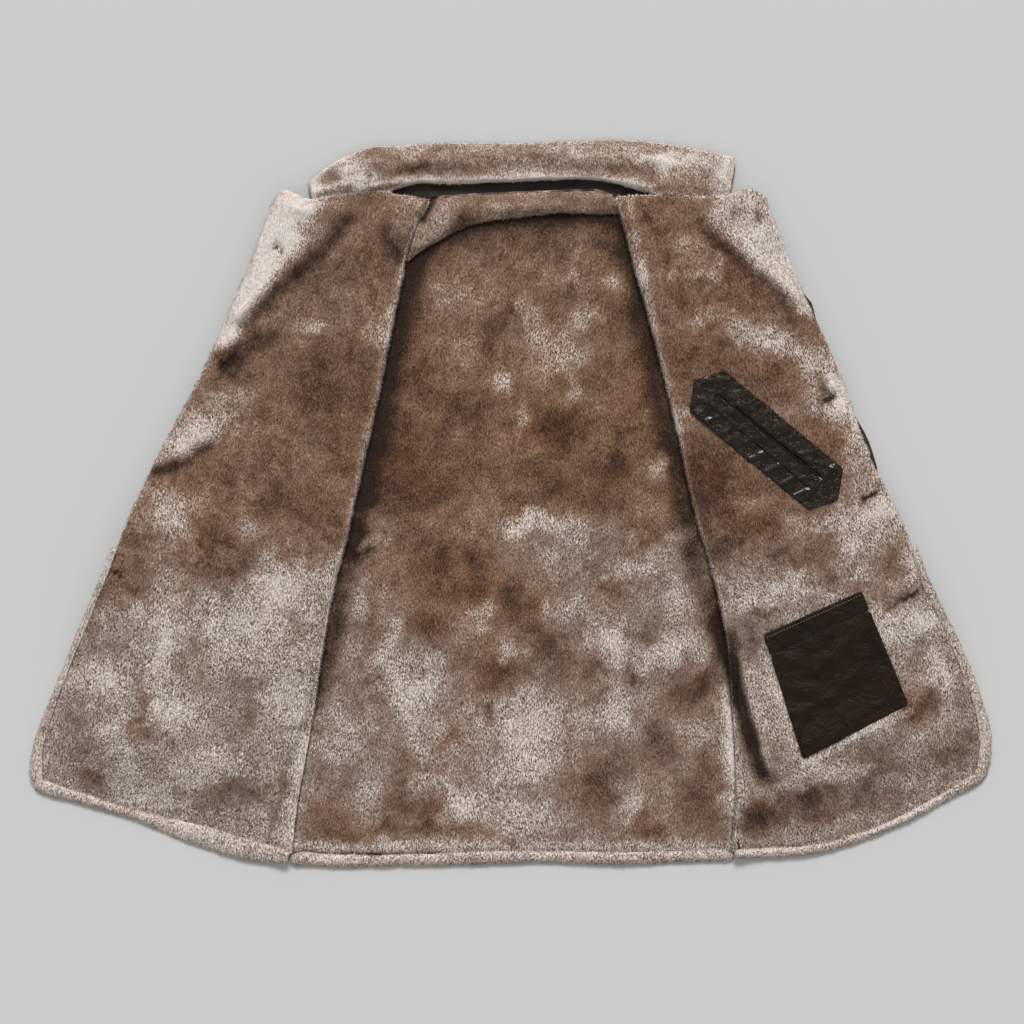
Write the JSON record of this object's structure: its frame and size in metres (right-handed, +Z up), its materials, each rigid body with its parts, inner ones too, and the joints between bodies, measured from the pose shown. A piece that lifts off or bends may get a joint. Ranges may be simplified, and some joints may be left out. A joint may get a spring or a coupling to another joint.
{
  "type": "shearling-collar coat laid open",
  "caption": "Hip-length leather coat with a thick plush shearling lining and collar, laid flat on its back with both fronts turned outward to show the lining.",
  "frame": {"origin": "under the middle of the coat's outline, on the surface it lies on", "axes": "+X toward the wearer's left front, +Y from the hem toward the collar, +Z up, the pile side of the lining"},
  "size_m": [1.1532, 0.8702, 0.0332],
  "materials": {
    "pile": "matte",
    "pile_light": "matte",
    "outer_leather": "satin",
    "pocket_leather": "satin",
    "button": "gloss"
  },
  "bodies": {
    "root": {"back": "pile", "front_right": "pile", "front_left": "pile", "collar": "pile_light", "collar_stand": "pile", "hem_roll_back": "pile_light", "edge_roll_right": "pile_light", "edge_roll_left": "pile_light", "sleeve_right": "outer_leather", "sleeve_left": "outer_leather", "under_collar": "outer_leather", "welt_patch": "pocket_leather", "welt_lip": "pocket_leather", "patch_pocket": "pocket_leather", "patch_pocket_band": "pocket_leather", "button_1": "button", "button_2": "button", "button_3": "button", "button_4": "button"}
  },
  "joints": []
}
